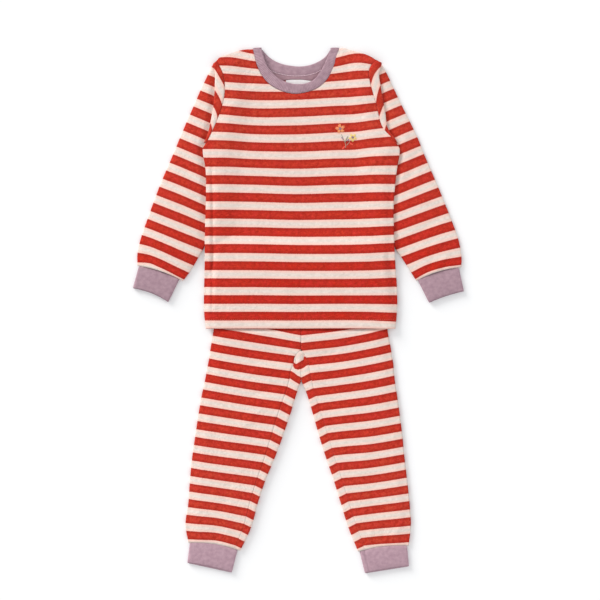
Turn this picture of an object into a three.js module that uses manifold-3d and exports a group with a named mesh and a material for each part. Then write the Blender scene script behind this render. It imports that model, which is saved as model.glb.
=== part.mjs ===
// A child's two-piece pyjama set in striped velour, laid flat with the trousers under the top.
// Millimetres. +X is to the right and +Y up the garment as it is looked down on, +Z is towards the eye.
import * as THREE from "three";
import { mergeVertices } from "three/addons/utils/BufferGeometryUtils.js";
import Module from "manifold-3d";

const wasm = await Module();
wasm.setup();

// Driving sizes
const wall = 2; // velour, pile included
const ribWall = 2.4; // doubled rib of cuffs, neckband and waistband
const seamGap = 0.4; // between pieces that are sewn together, in plan
const curvedGap = 1; // the same along the curved armhole and neck seams
const halfGap = 0.17; // from a seam of the trousers to each of its two edges
const layerGap = 0.3; // between pieces that lie on each other
const closedRise = wall + layerGap; // from one wall's middle to the next where two walls lie shut
const sideRise = 2.8; // the same along the sides, armholes and shoulders of the top
const bodyRise = 4.4; // the same in the middle of the chest
const hemRise = 3.2; // and along the hem
const sleeveRise = 2.8;
const cuffRise = 3.2;
const waistRise = 2.9;
const underSleeve = 5.2; // height at which the top passes over a sleeve
const underTrousers = 5.7; // and over the trousers
const softEdge = 20; // width over which a panel rises from its shut edge
const tapeWall = 0.8;
const labelWall = 0.5;
// The middle of the whole set's outline, which becomes x = 0, y = 0
const middle = { x: -5.33, y: 3.12 };

// Outline of the top's body, seen from above
const side = {
  left: [[-153, -26], [-156, 4], [-156, 36], [-155, 73], [-154.5, 124], [-153, 174], [-153, 225], [-157.5, 263]],
  right: [[150, -26], [153, 4], [153, 36], [150.5, 72], [148, 124], [147.5, 174], [152, 225], [156.5, 263]],
};
const armhole = {
  left: [[-157.5, 263], [-149, 278], [-138, 301], [-127, 330], [-122.5, 358], [-126, 383], [-136, 402]],
  right: [[156.5, 263], [145.5, 279], [129.5, 296.5], [120, 331], [110, 367], [111.5, 385], [122, 402]],
};
const shoulder = {
  left: [[-136, 402], [-131, 407.5], [-113, 414.5], [-93, 420.5], [-78, 421.5]],
  right: [[60.5, 422], [65, 423.5], [88, 417.5], [110, 410], [122, 402]],
};
const neck = {
  front: [[-78, 421.5], [-71, 394.5], [-56.5, 370], [-37, 356.5], [-12.5, 350], [9.5, 353], [27, 360],
    [41.5, 373.5], [51, 392], [60.5, 422]],
  frontFree: [[-64, 421.5], [-58.5, 403], [-53, 391.5], [-39.5, 376.7], [-27, 369.7], [-6, 365.3],
    [12, 368.4], [22, 375], [35.5, 395], [46.5, 421]],
  back: [[-78, 421.5], [-66, 403], [-48, 386.7], [-29, 380.7], [-8, 378.6], [12, 380.4], [28, 386],
    [42, 396.5], [54.5, 410.5], [60.5, 422]],
  backFree: [[-64, 421.5], [-56, 413], [-43, 403], [-30, 397.7], [-5, 394], [14.5, 396.4], [27, 401.7],
    [40, 411.5], [46.5, 421]],
};

// A row for each section across a sleeve, from the shoulder down: the ends of the flattened tube and
// how far its middle bows back up the sleeve
const sleeveRows = {
  left: [
    { outer: [-141.5, 398.5], inner: [-131, 394.5] },
    { outer: [-150.5, 380], inner: [-126.5, 370.5] },
    { outer: [-162, 355.5], inner: [-123.7, 339.7] },
    { outer: [-173.6, 329], inner: [-125.6, 309.6] },
    { outer: [-185, 303], inner: [-128.8, 280] },
    { outer: [-196.3, 276], inner: [-135, 250.4] },
    { outer: [-206.7, 251], inner: [-137, 222.4] },
    { outer: [-228.3, 200], inner: [-139, 164] },
    { outer: [-247.5, 147.7], inner: [-154, 109.3] },
    { outer: [-256.5, 122], inner: [-166, 86.4] },
    { outer: [-262.9, 94], inner: [-180, 63.4], bow: 2 },
    { outer: [-262.9, 75], inner: [-190, 50.7], bow: 4.2 },
  ],
  right: [
    { outer: [128, 398.5], inner: [118, 394.5] },
    { outer: [135.5, 385], inner: [115, 375.7] },
    { outer: [148.2, 358], inner: [114.6, 343.2] },
    { outer: [160.8, 331.4], inner: [119.8, 313.3] },
    { outer: [173.6, 305.8], inner: [127, 285] },
    { outer: [186.4, 279], inner: [132.3, 255] },
    { outer: [196.5, 253.6], inner: [133.6, 225.6] },
    { outer: [219.5, 199.8], inner: [134.4, 162.4] },
    { outer: [241, 146.4], inner: [149, 105.6] },
    { outer: [251.4, 117], inner: [160.8, 87.2] },
    { outer: [256.5, 89], inner: [173.6, 67.2], bow: 2 },
    { outer: [256, 72.3], inner: [183.8, 50.7], bow: 4.2 },
  ],
};
// The free end of each cuff, and how far its seam starts inside the cloth's outer and inner edge
const sleeveCuff = {
  left: { outer: [-271, 38.7], inner: [-213.5, 16], bow: 3, insets: [2.5, 6] },
  right: { outer: [260.3, 34], inner: [204.2, 15.4], bow: 1.6, insets: [3.7, 2.6] },
};
// Outer edge of the sleeve head, where it lies doubled beside the armhole seam
const headFold = {
  left: [[-158.5, 261], [-150, 285], [-145.5, 305], [-141, 330], [-139, 358], [-138.5, 381], [-142.5, 399]],
  right: [[158, 261], [148, 279], [138, 295], [134, 320], [127, 360], [124.2, 380], [128.5, 399]],
};

// A row for each section across a trouser leg. seam is where the inseam shows on the front, inner the
// inner edge or, above the fork, the middle. The two edges of a row share y unless innerY says otherwise,
// and bow is how far the row's middle lies above the line between them.
const middleSeam = -0.5;
const legRows = {
  left: [
    { y: 72, outer: -128, rise: 2.6 },
    { y: 40, outer: -134, rise: 2.6 },
    { y: 5, outer: -138, rise: 2.6 },
    { y: -30, outer: -141, rise: 2.7 },
    { y: -60, outer: -146, seam: -1, rise: 3.2 },
    { y: -71, outer: -147.5, seam: -11, rise: 3.4 },
    { y: -82, outer: -149.5, seam: -15, rise: 3.6 },
    { y: -95, outer: -152, seam: -17.5, rise: 3.8 },
    { y: -109, outer: -154.5, seam: -19.5, inner: -0.65, rise: 4 },
    { y: -129, outer: -159, seam: -25.5, inner: -7.5, rise: 4.2 },
    { y: -160, outer: -164.5, seam: -36.5, inner: -17, rise: 4.4 },
    { y: -197, outer: -170, seam: -48, inner: -29.5, rise: 4.6 },
    { y: -232, outer: -175, seam: -58.5, inner: -42.5, rise: 4.6 },
    { y: -267, outer: -178.5, seam: -71, inner: -57, rise: 4.6 },
    { y: -304, outer: -181, seam: -82.5, inner: -69.5, rise: 4.4 },
    { y: -340, outer: -185.5, seam: -93, inner: -81, innerY: -345, rise: 4, bow: 1 },
    { y: -369, outer: -181, seam: -107, inner: -97.5, innerY: -382, rise: 3.6, bow: 4.5 },
  ],
  right: [
    { y: 72, outer: 126, rise: 2.6 },
    { y: 40, outer: 131, rise: 2.6 },
    { y: 5, outer: 135, rise: 2.6 },
    { y: -30, outer: 138, rise: 2.7 },
    { y: -60, outer: 143.5, seam: 0.5, rise: 3.2 },
    { y: -71, outer: 145, seam: 7, rise: 3.4 },
    { y: -82, outer: 147, seam: 11.5, rise: 3.6 },
    { y: -95, outer: 148, seam: 13.5, rise: 3.8 },
    { y: -109, outer: 149.5, seam: 16.5, inner: -0.35, rise: 4 },
    { y: -129, outer: 152.5, seam: 21, inner: 8, rise: 4.2 },
    { y: -160, outer: 157, seam: 31, inner: 17.5, rise: 4.4 },
    { y: -197, outer: 161.5, seam: 43, inner: 28, rise: 4.6 },
    { y: -232, outer: 165, seam: 53, inner: 39, rise: 4.6 },
    { y: -267, outer: 169, seam: 65, inner: 51, rise: 4.6 },
    { y: -304, outer: 173, seam: 76, inner: 62.5, rise: 4.4 },
    { y: -340, outer: 175, seam: 89, inner: 75, innerY: -344, rise: 4, bow: 1 },
    { y: -373.3, outer: 171.5, seam: 101.5, inner: 90.5, innerY: -383, rise: 3.6, bow: 4 },
  ],
};
const fork = 8; // number of the row at the fork of the legs
const legCuff = {
  left: { outer: [-183.5, -401], inner: [-111.5, -417], insets: [2, 4.4] },
  right: { outer: [172.5, -406.5], inner: [102, -418.2], insets: [2.6, 2.6] },
};
const waistband = { left: -127, right: 125, bottom: 72.4, top: 94 };
const tape = { start: 0.6, width: 6.6 }; // below the back neck seam
const label = { x: -2, top: 371, width: 46, height: 24 };

// Small helpers
const ease = (value) => THREE.MathUtils.smoothstep(value, 0, 1);
const lerp = THREE.MathUtils.lerp;
const flat = ([x, y]) => new THREE.Vector3(x, y, 0);
const between = (a, b, share) => [lerp(a[0], b[0], share), lerp(a[1], b[1], share)];
const shares = (count) => Array.from({ length: count + 1 }, (_, i) => i / count);

/** Points at the given shares of the length of a smooth curve through a table of [x, y]. */
function along(table, parts) {
  const curve = new THREE.CatmullRomCurve3(table.map(flat), false, "centripetal");
  return parts.map((share) => curve.getPointAt(share)).map((p) => [p.x, p.y]);
}

/** The value at `at` of a table of [value, place], place rising or falling, held past its ends. */
function read(table, at) {
  const rows = [...table].sort((a, b) => a[1] - b[1]);
  if (at <= rows[0][1]) return rows[0][0];
  for (let i = 1; i < rows.length; i++) {
    if (at <= rows[i][1]) {
      return lerp(rows[i - 1][0], rows[i][0], (at - rows[i - 1][1]) / (rows[i][1] - rows[i - 1][1]));
    }
  }
  return rows.at(-1)[0];
}

// Heights of the top over what lies beneath it
const edgeOf = (hand, y) => read([...side[hand], ...armhole[hand].slice(1)], y);
const shoulderY = (x) => read([...shoulder.left, ...shoulder.right].map(([px, py]) => [py, px]), x);
const sleeveInner = (hand, y) => read(sleeveRows[hand].map((row) => row.inner), y);
const legOuter = (hand, y) => read(legRows[hand].map((row) => [row.outer, row.y]), y);

/** How far the top is lifted off the surface by the sleeves and the trousers that lie under it. */
function lift(x, y) {
  const margin = 3;
  const ramp = 14;
  const slant = 0.92; // distance square to a sleeve's edge for each millimetre across
  const longer = 1.5; // how much longer the ramp above the waistband is
  const fall = (distance) => ease(1 - (distance - margin) / ramp);
  const left = underSleeve * fall(slant * (x - sleeveInner("left", y)));
  const right = underSleeve * fall(slant * (sleeveInner("right", y) - x));
  const inWidth = fall(Math.max(legOuter("left", y) - x, x - legOuter("right", y)));
  const inLength = fall((y - waistband.top) / longer);
  return Math.max(left, right, underTrousers * inWidth * inLength);
}

/** Length of a slope of the lift for each millimetre in plan. */
function stretch(x, y) {
  const step = 3;
  const dx = (lift(x + step, y) - lift(x - step, y)) / (2 * step);
  const dy = (lift(x, y + step) - lift(x, y - step)) / (2 * step);
  return Math.hypot(1, dx, dy);
}

const backMiddle = (x, y) => lift(x, y) + (wall / 2) * stretch(x, y);

/** Height of the middle of the front panel: shut along sides, armholes and shoulders, soft between. */
function frontMiddle(x, y) {
  const inward = Math.min(x - edgeOf("left", y), edgeOf("right", y) - x, shoulderY(x) - y);
  const hem = side.left[0][1];
  const fullFrom = 150; // above the hem
  const soft = lerp(hemRise, bodyRise, ease((y - hem) / fullFrom));
  const rise = lerp(sideRise, soft, ease(inward / softEdge));
  return backMiddle(x, y) + rise * stretch(x, y);
}

/**
 * A closed wall around a surface given as rows of points. A missing point (null) leaves its cells out.
 * ring joins each row's last point to its first, loop joins the last row to the first.
 */
function cloth(rows, thickness, { ring = false, loop = false } = {}) {
  const width = rows[0].length;
  const corner = (i, j) => (i % rows.length) * width + (j % width);
  const points = rows.flat();
  const cells = [];
  for (let i = 0; i < rows.length - (loop ? 0 : 1); i++) {
    for (let j = 0; j < width - (ring ? 0 : 1); j++) {
      const cell = [corner(i, j), corner(i, j + 1), corner(i + 1, j + 1), corner(i + 1, j)];
      if (cell.every((k) => points[k])) cells.push(cell);
    }
  }
  const normals = points.map(() => new THREE.Vector3());
  for (const [a, b, c, d] of cells) {
    const face = points[c].clone().sub(points[a]).cross(points[d].clone().sub(points[b]));
    [a, b, c, d].forEach((k) => normals[k].add(face));
  }
  const place = [];
  for (const hand of [0.5, -0.5]) {
    points.forEach((p, k) => {
      const q = p ? p.clone().addScaledVector(normals[k].normalize(), hand * thickness) : new THREE.Vector3();
      place.push(q.x, q.y, q.z);
    });
  }
  const under = points.length;
  const edges = new Map();
  const faces = [];
  const quad = (a, b, c, d) => faces.push(a, b, c, a, c, d);
  for (const [a, b, c, d] of cells) {
    quad(a, b, c, d);
    quad(under + d, under + c, under + b, under + a);
    for (const [from, to] of [[a, b], [b, c], [c, d], [d, a]]) {
      if (edges.has(`${to}-${from}`)) edges.delete(`${to}-${from}`);
      else edges.set(`${from}-${to}`, [from, to]);
    }
  }
  for (const [from, to] of edges.values()) quad(under + from, under + to, to, from);
  const geometry = new THREE.BufferGeometry();
  geometry.setAttribute("position", new THREE.Float32BufferAttribute(place, 3));
  geometry.setIndex(faces);
  return geometry.toNonIndexed();
}

/** How far a section's point lies back from the line between its ends, at a share of its width. */
const bowed = (bow, share) => 4 * bow * share * (1 - share);

/** Directions along a section, from its outer to its inner end, and back up the sleeve or leg. */
function directions(outer, inner) {
  const reach = flat(inner).sub(flat(outer)).normalize();
  const back = new THREE.Vector3(-reach.y, reach.x, 0).multiplyScalar(Math.sign(reach.x));
  return { reach, back };
}

/** A flattened tube through sections with ends `outer` and `inner`, its two walls `rise` apart. */
function tube(sections, thickness) {
  const rows = sections.map(({ outer, inner, rise, bow = 0 }) => {
    const radius = rise / 2;
    const width = flat(inner).distanceTo(flat(outer));
    const { reach, back } = directions(outer, inner);
    const inset = thickness / 2 + radius;
    const point = (across, height) => flat(outer)
      .addScaledVector(reach, across)
      .addScaledVector(back, bowed(bow, across / width))
      .setZ(thickness / 2 + height);
    const row = [];
    for (const share of shares(5)) row.push(point(lerp(inset, width - inset, share), 0));
    for (const turn of [1, 2, 3]) {
      const angle = (turn * Math.PI) / 4;
      row.push(point(width - inset + radius * Math.sin(angle), radius - radius * Math.cos(angle)));
    }
    for (const share of shares(5)) row.push(point(lerp(width - inset, inset, share), rise));
    for (const turn of [1, 2, 3]) {
      const angle = (turn * Math.PI) / 4;
      row.push(point(inset - radius * Math.sin(angle), radius + radius * Math.cos(angle)));
    }
    return row;
  });
  const right = sections[0].outer[0] > sections[0].inner[0];
  const facing = right === sections[0].outer[1] > sections.at(-1).outer[1];
  return cloth(facing ? rows : rows.reverse(), thickness, { ring: true });
}

/** A closed geometry as a solid for joining. */
function solid(geometry) {
  geometry.deleteAttribute("normal");
  const merged = mergeVertices(geometry, 1e-4);
  return new wasm.Manifold(new wasm.Mesh({
    numProp: 3,
    vertProperties: merged.attributes.position.array,
    triVerts: new Uint32Array(merged.index.array),
  }));
}

/** Two closed geometries joined into one. */
function joined(one, other) {
  const mesh = solid(one).add(solid(other)).getMesh();
  const geometry = new THREE.BufferGeometry();
  geometry.setAttribute("position", new THREE.Float32BufferAttribute(mesh.vertProperties, 3));
  geometry.setIndex(Array.from(mesh.triVerts));
  return geometry.toNonIndexed();
}

// Shares of the outline's length at which a panel's rows and columns lie
const sideHeights = [-26, 2, 32, 62, 84, 97, 106, 114, 124, 140, 164, 190, 216, 242, 263];
const armholeShares = shares(9);
const shoulderShares = [0, 0.04, 0.09, 0.15, 0.23, 0.34, 0.5, 0.74, 1];
const neckShares = shares(14);
const shoulderOfHem = 0.24; // share of the hem below each shoulder

/** A panel of the top, spread between its hem, sides, armholes, shoulders and neck edge. */
function bodyPanel(neckEdge, height) {
  const reversed = shoulderShares.map((share) => 1 - share).reverse();
  const top = [
    ...along(shoulder.left, shoulderShares),
    ...along(neckEdge, neckShares).slice(1),
    ...along(shoulder.right, reversed).slice(1),
  ];
  const hemShares = [
    ...shoulderShares.map((share) => share * shoulderOfHem),
    ...neckShares.slice(1).map((share) => shoulderOfHem + share * (1 - 2 * shoulderOfHem)),
    ...reversed.slice(1).map((share) => 1 - shoulderOfHem * (1 - share)),
  ];
  const sideEdge = (hand) => sideHeights.map((y) => [read(side[hand], y), y]);
  const edge = (hand) => [...sideEdge(hand), ...along(armhole[hand], armholeShares).slice(1)];
  const [left, right] = [edge("left"), edge("right")];
  const growth = 1.5; // power with which higher rows take on the shape of the top edge
  return left.map((leftPoint, i) => {
    const up = (leftPoint[1] - left[0][1]) / (left.at(-1)[1] - left[0][1]);
    return hemShares.map((across, j) => {
      const crown = between(left.at(-1), right.at(-1), across);
      const row = between(leftPoint, right[i], across);
      const [x, y] = [0, 1].map((k) => row[k] + up ** growth * (top[j][k] - crown[k]));
      return new THREE.Vector3(x, y, height(x, y));
    });
  });
}

/** The sleeve head lying doubled beside the armhole seam, its outer edge turned down to the sleeve. */
function sleeveHead(hand) {
  const outward = hand === "left" ? -1 : 1;
  const seam = along(armhole[hand], armholeShares);
  const fold = along(headFold[hand], armholeShares);
  const level = underSleeve + wall / 2 + sideRise;
  const foot = wall / 2 + sleeveRise - 0.2; // within the sleeve's upper wall
  const radius = 1.6;
  const crown = 0.3;
  const rows = seam.slice(1).map((start, i) => {
    const from = [start[0] + outward * curvedGap, start[1]];
    const to = fold[i + 1];
    const width = Math.max(Math.hypot(to[0] - from[0], to[1] - from[1]), 2 * (radius + wall / 2));
    const direction = flat(to).sub(flat(from)).normalize();
    const point = (across, height) => flat(from).addScaledVector(direction, across).setZ(height);
    const turn = width - wall / 2 - radius;
    const half = Math.PI / 4; // of the quarter turn down to the sleeve
    return [
      point(0, level),
      point(turn / 2, level + crown),
      point(turn, level),
      point(turn + radius * Math.sin(half), level - radius * (1 - Math.cos(half))),
      point(turn + radius, level - radius),
      point(turn + radius, foot),
    ];
  });
  return cloth(hand === "left" ? rows.reverse() : rows, wall);
}

function sleeve(hand) {
  return joined(tube(sleeveRows[hand].map((row) => ({ ...row, rise: sleeveRise })), wall), sleeveHead(hand));
}

/** A rib cuff sewn to the end row of a sleeve or leg, a little narrower than the cloth. */
function cuff(seam, { outer, inner, bow = 0, insets }) {
  const width = flat(seam.inner).distanceTo(flat(seam.outer));
  const { reach, back } = directions(seam.outer, seam.inner);
  const [first, last] = [insets[0] / width, 1 - insets[1] / width];
  const [from, to] = [first, last].map((share) => {
    const p = flat(seam.outer).addScaledVector(reach, share * width);
    p.addScaledVector(back, bowed(seam.bow, share) - seamGap);
    return [p.x, p.y];
  });
  const seamBow = seam.bow * (last - first) ** 2;
  const part = (share, rise) => ({
    outer: between(from, outer, share),
    inner: between(to, inner, share),
    bow: lerp(seamBow, bow, share),
    rise,
  });
  const slack = 0.3; // by which the cuff is flatter at its seam and its end
  return tube([part(0, cuffRise - slack), part(0.5, cuffRise), part(1, cuffRise - slack)], ribWall);
}

/** The rib neckband: front half level with the front panel, turned over at both shoulders. */
function neckband() {
  const parts = neckShares;
  const bandShares = [0, 0.5, 1];
  const half = (seamEdge, freeEdge, height) => {
    const seam = along(seamEdge, parts);
    const free = along(freeEdge, parts);
    return parts.map((_, i) => bandShares.map((share) => {
      const width = Math.hypot(free[i][0] - seam[i][0], free[i][1] - seam[i][1]);
      const [x, y] = between(seam[i], free[i], Math.max(share, curvedGap / width));
      return new THREE.Vector3(x, y, height(x, y));
    }));
  };
  const low = ribWall / 2;
  const shut = low + sideRise; // at the shoulders
  const open = low + bodyRise; // in the middle of the front
  const shoulderLine = 421;
  const opensOver = 24;
  const level = (x, y) => lerp(shut, open, ease((shoulderLine - y) / opensOver));
  const front = half(neck.front, neck.frontFree, level);
  const back = half(neck.back, neck.backFree, () => low);
  const turned = (row) => [0.25, 0.5, 0.75].map((share) => row.map((p) => {
    const radius = (p.z - low) / 2;
    const angle = share * Math.PI;
    return new THREE.Vector3(p.x, p.y + radius * Math.sin(angle), low + radius + radius * Math.cos(angle));
  }));
  const rows = [...front, ...turned(front.at(-1)), ...back.reverse(), ...turned(front[0]).reverse()];
  return cloth(rows, ribWall, { loop: true });
}

function neckTape() {
  const { start, width } = tape;
  const [from, to] = [0.12, 0.88]; // shares of the seam's length
  const z = wall + layerGap + tapeWall / 2;
  const line = along(neck.back, shares(14).map((share) => lerp(from, to, share)));
  const rows = line.map(([x, y]) => [start, start + width].map((drop) => new THREE.Vector3(x, y - drop, z)));
  return cloth(rows, tapeWall);
}

function neckLabel() {
  const geometry = new THREE.BoxGeometry(label.width, label.height, labelWall);
  return geometry.translate(label.x, label.top - label.height / 2, wall + layerGap + labelWall / 2);
}

/** Height on the page of a row of a leg, at a place across it. */
function rowY({ y, outer, inner, innerY = y, bow = 0 }, x) {
  if (inner === undefined) return y;
  const share = (x - outer) / (inner - outer);
  return lerp(y, innerY, share) + bowed(bow, share);
}

/** Front panel of a leg, from its side seam across the top to the middle seam and then the inseam. */
function trouserFront(hand) {
  const inward = hand === "left" ? 1 : -1;
  const columns = [0, 0.04, 0.09, 0.16, 0.3, 0.5, 0.72, 0.88, 1];
  const rows = legRows[hand].map((row) => {
    const end = (row.seam ?? middleSeam) - inward * halfGap;
    return columns.map((share) => {
      const x = lerp(row.outer, end, share);
      const lifted = lerp(closedRise, row.rise, ease(Math.abs(x - row.outer) / softEdge));
      return new THREE.Vector3(x, rowY(row, x), wall / 2 + lifted);
    });
  });
  return cloth(hand === "left" ? rows.reverse() : rows, wall);
}

/** Back panel of a leg: under the leg, round its inner edge and up to the inseam on the front. */
function trouserBack(hand) {
  const inward = hand === "left" ? 1 : -1;
  const below = [0, 0.1, 0.3, 0.55, 0.8, 1];
  const turns = [0.25, 0.5, 0.75];
  const above = [1, 0.5, 0];
  const rows = legRows[hand].map((row, i) => {
    const { outer, seam, inner, rise } = row;
    const radius = rise / 2;
    const bulge = i === fork ? 0 : 1;
    const middleEdge = middleSeam - inward * halfGap;
    const edge = inner === undefined ? middleEdge : inner - inward * (wall / 2 + radius * bulge);
    const point = (x, height) => new THREE.Vector3(x, rowY(row, x), wall / 2 + height);
    const bottom = below.map((share) => point(lerp(outer, edge, share), 0));
    const turn = turns.map((share) => {
      if (inner === undefined) return null;
      const angle = share * Math.PI;
      return point(edge + inward * bulge * radius * Math.sin(angle), radius - radius * Math.cos(angle));
    });
    const seamEdge = seam + inward * halfGap;
    const top = above.map((share) => (seam === undefined ? null : point(lerp(seamEdge, edge, share), rise)));
    return [...bottom, ...turn, ...top];
  });
  return cloth(hand === "left" ? rows : rows.reverse(), wall);
}

function waist() {
  const row = (y) => ({ outer: [waistband.left, y], inner: [waistband.right, y], rise: waistRise });
  return tube([row(waistband.top), row(waistband.bottom)], ribWall);
}

// Colours
const velour = new THREE.MeshStandardMaterial({ name: "velour", color: 0xc23728, roughness: 0.95 });
const backVelour = new THREE.MeshStandardMaterial({ name: "velour_back", color: 0xedd8cd, roughness: 0.95 });
const rib = new THREE.MeshStandardMaterial({ name: "rib", color: 0xaf909a, roughness: 0.9 });
const tapeCloth = new THREE.MeshStandardMaterial({ name: "tape", color: 0xa6838c, roughness: 0.9 });
const labelCloth = new THREE.MeshStandardMaterial({ name: "label", color: 0xf2f0ec, roughness: 0.8 });

const set = new THREE.Group();
set.position.set(-middle.x, -middle.y, 0);

function add(name, geometry, material) {
  geometry.computeVertexNormals();
  const mesh = new THREE.Mesh(geometry, material);
  mesh.name = name;
  set.add(mesh);
}

add("top_front", cloth(bodyPanel(neck.front, frontMiddle), wall), velour);
add("top_back", cloth(bodyPanel(neck.back, backMiddle), wall), backVelour);
add("neckband", neckband(), rib);
add("neck_tape", neckTape(), tapeCloth);
add("neck_label", neckLabel(), labelCloth);
for (const hand of ["left", "right"]) {
  add(`sleeve_${hand}`, sleeve(hand), velour);
  add(`sleeve_cuff_${hand}`, cuff(sleeveRows[hand].at(-1), sleeveCuff[hand]), rib);
  const { outer, y, inner, innerY, bow } = legRows[hand].at(-1);
  add(`trouser_front_${hand}`, trouserFront(hand), velour);
  add(`trouser_back_${hand}`, trouserBack(hand), backVelour);
  add(`leg_cuff_${hand}`, cuff({ outer: [outer, y], inner: [inner, innerY], bow }, legCuff[hand]), rib);
}
add("waistband", waist(), rib);

export default set;
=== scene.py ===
"""A child's striped velour pyjama set, laid flat and looked down on. Sizes in the tables are millimetres."""
import math

import bpy
import numpy as np
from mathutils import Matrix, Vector


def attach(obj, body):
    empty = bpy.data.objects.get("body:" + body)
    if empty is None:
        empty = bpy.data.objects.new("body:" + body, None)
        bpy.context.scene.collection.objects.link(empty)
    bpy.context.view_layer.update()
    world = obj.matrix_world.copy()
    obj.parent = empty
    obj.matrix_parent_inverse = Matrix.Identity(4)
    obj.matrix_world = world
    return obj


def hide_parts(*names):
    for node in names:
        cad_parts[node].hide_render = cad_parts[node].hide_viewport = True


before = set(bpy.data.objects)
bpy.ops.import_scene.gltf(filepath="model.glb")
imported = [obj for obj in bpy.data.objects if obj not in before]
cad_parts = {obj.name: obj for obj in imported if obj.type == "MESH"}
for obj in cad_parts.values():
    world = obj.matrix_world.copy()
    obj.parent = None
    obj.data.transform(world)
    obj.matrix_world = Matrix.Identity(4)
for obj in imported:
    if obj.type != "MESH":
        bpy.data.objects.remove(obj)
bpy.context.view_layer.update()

MM = 0.001
MIDDLE = np.array([-5.33, 3.12, 0.0])  # the middle of the set's outline, which is the frame's origin
SCENE = bpy.context.scene

# Sizes of the cloth
WALL = 2.0
RIB_WALL = 2.4
TAPE_WALL = 0.8
LABEL_WALL = 0.5
CREASE_DEPTH = 1.1  # of every height in the tables of creases
SEAM_GAP = 0.5
CUFF_GAP = 0.25
HALF_GAP = 0.02  # from a seam of the trousers to each of its two edges
EDGE_THINNING = (0.5, 0.8, 0.95, 1.0)  # share of the thickness left along an edge of the top, row by row
SEAM_THINNING = (0.85, 1.0, 1.0)  # along the armhole seam
FLUSH_THINNING = (0.96, 1.0, 1.0)  # along a seam that hardly shows
CUFF_THINNING = (0.7, 0.9, 1.0)  # and at the ends of the sleeves and cuffs
HEAD_GAP = 0.25  # between a sleeve head and the body
LAYER_GAP = 0.3
SHUT = WALL + LAYER_GAP
SIDE_RISE = 2.35
BODY_RISE = 4.4
HEM_RISE = 2.4
SLEEVE_RISE = 2.8
UNDER_SLEEVE = 5.2
UNDER_TROUSERS = 5.7
UNDER_HEM = 5.05
BELOW_HEM = (6.0, 4.6)  # rise of the trousers right below the top's hem, and further down
CELL = 2.5  # size of a mesh cell on what shows
FRONT_CELL = 2.0  # and on the front panel
HIDDEN_CELL = 4.5
RAMP_START = 3  # how far beside what lies under it the top starts to come down
SLEEVE_RAMP = 42  # and over what distance it does, beside a sleeve
LEG_RAMP = 20  # beside the trousers
WAIST_RAMP = 34  # and above them
SLEEVE_SLANT = 0.92  # distance square to a sleeve's edge for each millimetre across
SOFT_EDGE = 20  # how far in from its edge the cloth has its full height
FULLNESS = 2.9  # of a sleeve where nothing lies on it
FOLD_RADIUS = 1.8  # where a sleeve head turns down
HEM_Y = -26
ARMPIT_Y = 263
INWARD = {"left": 1, "right": -1}

# Outline of the top's body
SIDE = {
    "left": [
        [-153, -26], [-156, 4], [-156, 36], [-155, 73], [-154.5, 124], [-153, 174], [-153, 225],
        [-157.5, 263],
    ],
    "right": [
        [150, -26], [153, 4], [153, 36], [150.5, 72], [148, 124], [147.5, 174], [152, 225],
        [156.5, 263],
    ],
}
ARMHOLE = {
    "left": [[-157.5, 263], [-149, 278], [-138, 301], [-127, 330], [-122.5, 358], [-126, 383], [-136, 402]],
    "right": [
        [156.5, 263], [145.5, 279], [129.5, 296.5], [120, 331], [110, 367], [107.6, 383], [110.5, 394],
        [119.5, 403.5],
    ],
}
SHOULDER = {
    "left": [[-136, 402], [-131, 407.5], [-113, 414.5], [-93, 420.5], [-78, 421.5]],
    "right": [[60.5, 422], [65, 423.5], [88, 417.5], [108, 410.5], [119.5, 403.5]],
}
NECK = {
    "front": [
        [-78, 421.5], [-71, 394.5], [-56.5, 370], [-37, 356.5], [-12.5, 350], [9.5, 353], [27, 360],
        [41.5, 373.5], [51, 392], [60.5, 422],
    ],
    "front_free": [
        [-64, 421.5], [-61, 412], [-58.5, 403], [-54, 393.3], [-46.5, 384], [-39.3, 376.6],
        [-27.7, 370.1], [-19, 367], [-6, 365.3], [4, 366], [12, 368.4], [22, 374.8], [32.8, 390],
        [39.2, 403], [46.5, 421],
    ],
    "back": [
        [-78, 421.5], [-66, 403], [-48, 386.7], [-29, 380.7], [-8, 378.6], [12, 380.4], [28, 386],
        [42, 396.5], [54.5, 410.5], [60.5, 422],
    ],
    "back_free": [
        [-64, 421.5], [-56, 412.9], [-49.6, 407.1], [-43.2, 403], [-30.4, 397.8], [-17.6, 395.3],
        [-4.8, 394], [8, 395.1], [20.8, 398.8], [33.6, 405.6], [40, 411.5], [46.5, 421],
    ],
}
# Sections across the sleeves: x, y of the outer end, then of the inner end
SLEEVE = {
    "left": [
        [-141.5, 398.5, -131, 394.5], [-150.5, 380, -126.5, 370.5], [-162, 355.5, -123.7, 339.7],
        [-173.6, 329, -125.6, 309.6], [-185, 303, -128.8, 280], [-196.3, 276, -135, 250.4],
        [-206.7, 251, -137, 222.4], [-228.3, 200, -139, 164], [-247.5, 147.7, -154, 109.3],
        [-256.5, 122, -166, 86.4], [-262.9, 94, -180, 63.4], [-262.9, 75, -190, 50.7],
    ],
    "right": [
        [128, 398.5, 118, 394.5], [135.5, 385, 115, 375.7], [148.2, 358, 114.6, 343.2],
        [160.8, 331.4, 119.8, 313.3], [173.6, 305.8, 127, 285], [186.4, 279, 132.3, 255],
        [196.5, 253.6, 133.6, 225.6], [219.5, 199.8, 134.4, 162.4], [241, 146.4, 149, 105.6],
        [251.4, 117, 160.8, 87.2], [256.5, 89, 173.6, 67.2], [256, 72.3, 183.8, 50.7],
    ],
}
SLEEVE_BOW = {"left": 3.4, "right": 4.2}  # how far the middle of the cuff's seam lies up the sleeve
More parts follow.
